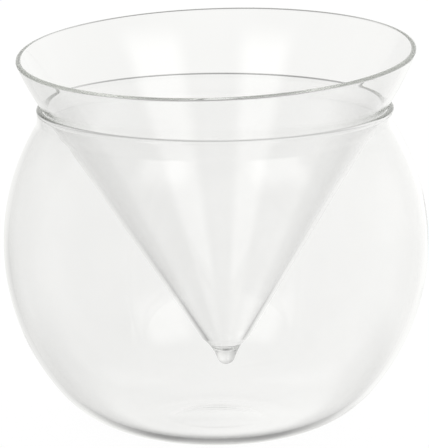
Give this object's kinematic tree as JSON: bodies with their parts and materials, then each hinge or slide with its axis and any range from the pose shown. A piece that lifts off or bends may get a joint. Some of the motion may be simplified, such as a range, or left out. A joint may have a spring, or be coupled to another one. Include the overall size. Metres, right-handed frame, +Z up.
{
  "type": "iced cocktail glass with chilling bowl",
  "caption": "Clear glass cone with a closed solid tip, hanging loose in the beaded lip of a round clear glass bowl that holds ice around it.",
  "frame": {"origin": "centre of the bowl's foot, on the table", "axes": "+Z up along the bowl's axis; the cone's rim leans towards -Y and a little towards -X, the side the picture shows"},
  "size_m": [0.115, 0.115, 0.1063],
  "materials": {
    "bowl_glass": "clear blown soda-lime glass, fire-polished, faint green-grey tint in the thick edges",
    "insert_glass": "clear blown soda-lime glass, fire-polished, faint green-grey tint in the thick edges"
  },
  "bodies": {
    "bowl": {"bowl": "bowl_glass"},
    "insert": {"cone_insert": "insert_glass"}
  },
  "joints": [
    {"name": "insert_lift", "type": "slide", "parent": "bowl", "child": "insert", "axis": [0, 0, 1], "range_m": [0, 0.08]}
  ]
}
